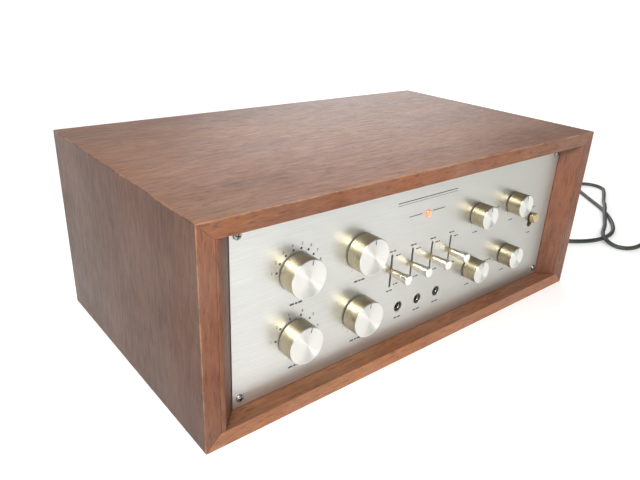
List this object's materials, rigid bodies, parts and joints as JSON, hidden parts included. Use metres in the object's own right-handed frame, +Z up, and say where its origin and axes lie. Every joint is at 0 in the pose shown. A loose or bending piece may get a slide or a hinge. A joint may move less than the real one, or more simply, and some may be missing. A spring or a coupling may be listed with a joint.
{
  "type": "stereo control amplifier",
  "caption": "Mid-century stereo control amplifier in a mitred walnut case, with turned metal knobs, lever switches, phone jacks and a mains cord.",
  "frame": {"origin": "middle of the flat underside of the walnut case, on the surface that it stands on", "axes": "+X to the right as the front panel is read, along the case's width; -Y out of the front panel; +Z up"},
  "size_m": [0.8242, 0.4273, 0.1726],
  "materials": {
    "walnut": "oiled walnut veneer",
    "walnut_edge": "oiled solid walnut",
    "panel": "fine satin",
    "steel": "zinc plated",
    "shield": "zinc plated, vented",
    "chrome": "polished",
    "knob": "champagne sides with a spun face",
    "brass": "polished gold tone",
    "black_plastic": "moulded",
    "phenolic": "laminate",
    "jewel": "faceted amber lens",
    "iron": "varnished laminations",
    "can": "drawn can",
    "cord_vinyl": "dark vinyl"
  },
  "bodies": {
    "root": {"case_top": "walnut", "case_bottom": "walnut", "case_side_left": "walnut", "case_side_right": "walnut", "front_strip_left": "walnut_edge", "front_strip_right": "walnut_edge", "face_panel": "panel", "panel_screw_1": "chrome", "panel_screw_2": "chrome", "panel_screw_3": "chrome", "panel_screw_4": "chrome", "chassis_tray": "steel", "rear_panel": "steel", "top_shield": "shield", "selector_switch": "phenolic", "mode_switch": "phenolic", "volume_pot": "can", "balance_pot": "can", "treble_left_pot": "can", "treble_right_pot": "can", "bass_left_pot": "can", "bass_right_pot": "can", "lever_switch_bank": "phenolic", "power_switch": "phenolic", "phone_jack_left": "black_plastic", "phone_jack_middle": "black_plastic", "phone_jack_right": "black_plastic", "pilot_jewel": "jewel", "lamp_holder": "can", "power_transformer": "iron", "filter_capacitor": "can", "circuit_board": "phenolic", "input_sockets": "phenolic", "ac_outlets": "black_plastic", "fuse_holder": "black_plastic", "cord_grip": "black_plastic", "power_cord": "cord_vinyl", "cord_coil": "cord_vinyl", "plug": "black_plastic"},
    "selector": {"selector_knob": "knob", "selector_shaft": "can"},
    "mode": {"mode_knob": "knob", "mode_shaft": "can"},
    "volume": {"volume_knob": "knob", "volume_shaft": "can"},
    "balance": {"balance_knob": "knob", "balance_shaft": "can"},
    "treble_left": {"treble_left_knob": "knob", "treble_left_shaft": "can"},
    "treble_right": {"treble_right_knob": "knob", "treble_right_shaft": "can"},
    "bass_left": {"bass_left_knob": "knob", "bass_left_shaft": "can"},
    "bass_right": {"bass_right_knob": "knob", "bass_right_shaft": "can"},
    "monitor": {"monitor_lever": "brass"},
    "phono": {"phono_lever": "brass"},
    "low_filter": {"low_filter_lever": "brass"},
    "high_filter": {"high_filter_lever": "brass"},
    "power": {"power_lever": "brass"}
  },
  "joints": [
    {"name": "selector_turn", "type": "hinge", "parent": "root", "child": "selector", "pos_m": [-0.1398, -0.1144, 0.111], "axis": [0, 1, 0], "range_deg": [-90, 67.5]},
    {"name": "mode_turn", "type": "hinge", "parent": "root", "child": "mode", "pos_m": [-0.1398, -0.1144, 0.0556], "axis": [0, 1, 0], "range_deg": [-99, 66]},
    {"name": "volume_turn", "type": "hinge", "parent": "root", "child": "volume", "pos_m": [-0.0765, -0.1144, 0.111], "axis": [0, 1, 0], "range_deg": [-150, 150]},
    {"name": "balance_turn", "type": "hinge", "parent": "root", "child": "balance", "pos_m": [-0.0765, -0.1144, 0.0556], "axis": [0, 1, 0], "range_deg": [-150, 150]},
    {"name": "treble_left_turn", "type": "hinge", "parent": "root", "child": "treble_left", "pos_m": [0.0698, -0.1144, 0.111], "axis": [0, 1, 0], "range_deg": [-150, 150]},
    {"name": "treble_right_turn", "type": "hinge", "parent": "root", "child": "treble_right", "pos_m": [0.1264, -0.1144, 0.111], "axis": [0, 1, 0], "range_deg": [-150, 150]},
    {"name": "bass_left_turn", "type": "hinge", "parent": "root", "child": "bass_left", "pos_m": [0.0698, -0.1144, 0.0556], "axis": [0, 1, 0], "range_deg": [-150, 150]},
    {"name": "bass_right_turn", "type": "hinge", "parent": "root", "child": "bass_right", "pos_m": [0.1264, -0.1144, 0.0556], "axis": [0, 1, 0], "range_deg": [-150, 150]},
    {"name": "monitor_tilt", "type": "hinge", "parent": "root", "child": "monitor", "pos_m": [-0.0402, -0.0824, 0.0824], "axis": [1, 0, 0], "range_deg": [-20, 20]},
    {"name": "phono_tilt", "type": "hinge", "parent": "root", "child": "phono", "pos_m": [-0.0152, -0.0824, 0.0824], "axis": [1, 0, 0], "range_deg": [-20, 20]},
    {"name": "low_filter_tilt", "type": "hinge", "parent": "root", "child": "low_filter", "pos_m": [0.0098, -0.0824, 0.0824], "axis": [1, 0, 0], "range_deg": [-20, 20]},
    {"name": "high_filter_tilt", "type": "hinge", "parent": "root", "child": "high_filter", "pos_m": [0.0349, -0.0824, 0.0824], "axis": [1, 0, 0], "range_deg": [-20, 20]},
    {"name": "power_tilt", "type": "hinge", "parent": "root", "child": "power", "pos_m": [0.1642, -0.0944, 0.084], "axis": [1, 0, 0], "range_deg": [0, 16]}
  ]
}
